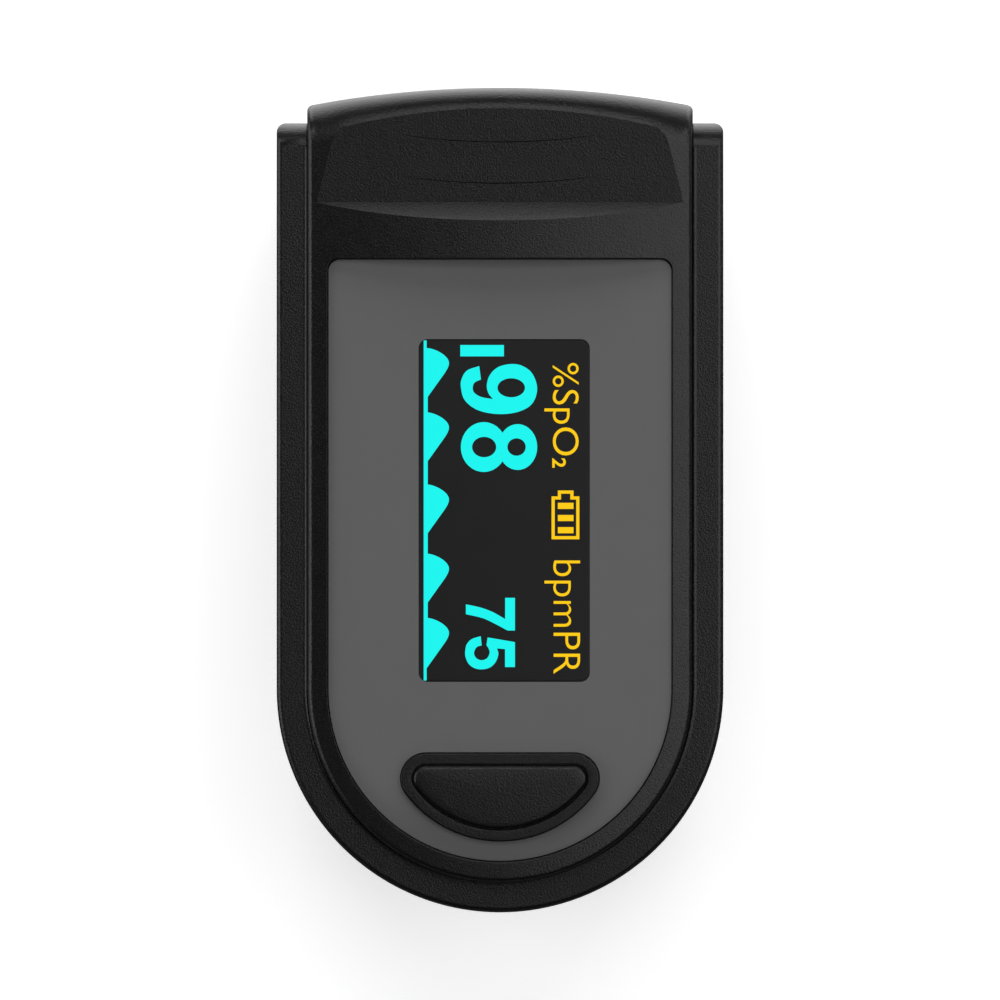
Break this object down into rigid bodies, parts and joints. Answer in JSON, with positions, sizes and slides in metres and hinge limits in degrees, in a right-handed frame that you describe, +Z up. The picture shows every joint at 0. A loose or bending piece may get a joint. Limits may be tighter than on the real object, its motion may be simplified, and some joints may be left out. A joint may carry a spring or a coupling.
{
  "type": "fingertip pulse oximeter",
  "caption": "Spring-clip fingertip pulse oximeter with a black case, a grey front panel with a display window, a power button and a sliding battery door.",
  "frame": {"origin": "under the middle of the part, on the surface that its battery side rests on", "axes": "+Z up out of the display, +Y towards the squeeze end, -Y towards the finger opening, +X to the right as the display is seen from above with the squeeze end up"},
  "size_m": [0.032, 0.059, 0.032],
  "materials": {
    "housing_black": "fine spark-eroded texture, semi-matt black ABS",
    "panel_grey": "satin printed grey overlay",
    "display_window": "smoked clear acrylic, satin gloss",
    "pad_silicone": "soft matt silicone",
    "optical_window": "dark red clear plastic",
    "steel": "bright zinc plated",
    "spring_steel": "drawn music wire",
    "nickel_contact": "nickel plated strip",
    "circuit_board": "green solder mask",
    "chip_black": "moulded epoxy",
    "ceramic": "ceramic and pale resin",
    "display_glass": "polished display glass",
    "cell_wrap": "printed foil jacket",
    "cushion_foam": "closed-cell foam",
    "polyimide": "amber polyimide ribbon",
    "lead_red": "PVC insulation",
    "lead_black": "PVC insulation"
  },
  "bodies": {
    "lower": {"lower_housing": "housing_black", "lower_inner_cover": "housing_black", "lower_finger_pad": "pad_silicone", "battery_1": "cell_wrap", "battery_2": "cell_wrap", "bridge_contact": "nickel_contact", "bridge_spring": "nickel_contact", "bridge_button": "nickel_contact", "positive_contact": "nickel_contact", "negative_contact": "nickel_contact", "negative_spring": "nickel_contact", "sensor_board": "circuit_board", "photodiode": "chip_black", "sensor_window": "optical_window", "lower_screw_1": "steel", "lower_screw_2": "steel", "lower_screw_3": "steel", "lower_screw_4": "steel", "hinge_pin": "steel", "torsion_spring_right": "spring_steel", "torsion_spring_left": "spring_steel", "positive_lead": "lead_red", "negative_lead": "lead_black", "flex_cable": "polyimide"},
    "upper": {"upper_housing": "housing_black", "top_cover": "housing_black", "front_panel": "panel_grey", "display_window": "display_window", "upper_finger_pad": "pad_silicone", "switch_body": "steel", "main_board": "circuit_board", "display_glass": "display_glass", "display_cushion": "cushion_foam", "display_ribbon": "polyimide", "processor_chip": "chip_black", "front_end_chip": "chip_black", "power_inductor": "chip_black", "clock_crystal": "steel", "capacitor_1": "ceramic", "capacitor_2": "ceramic", "flex_connector": "ceramic", "emitter_board": "circuit_board", "light_emitter": "ceramic", "emitter_window": "optical_window", "upper_screw_1": "steel", "upper_screw_2": "steel", "upper_screw_3": "steel", "upper_screw_4": "steel", "board_screw_1": "steel", "board_screw_2": "steel"},
    "button": {"power_button": "housing_black", "switch_plunger": "chip_black"},
    "door": {"battery_door": "housing_black"}
  },
  "joints": [
    {"name": "clip_hinge", "type": "hinge", "parent": "lower", "child": "upper", "pos_m": [0, 0.0115, 0.0185], "axis": [-1, 0, 0], "range_deg": [0, 19], "stiffness_Nm_per_rad": 0.127, "springref_deg": -22.35, "deforming": ["torsion_spring_right", "torsion_spring_left", "flex_cable"]},
    {"name": "button_press", "type": "slide", "parent": "upper", "child": "button", "axis": [0, 0, -1], "range_m": [0, 0.0003], "stiffness_N_per_m": 1200, "springref_m": -0.0005},
    {"name": "door_slide", "type": "slide", "parent": "lower", "child": "door", "axis": [0, 1, 0], "range_m": [0, 0.0485]}
  ]
}
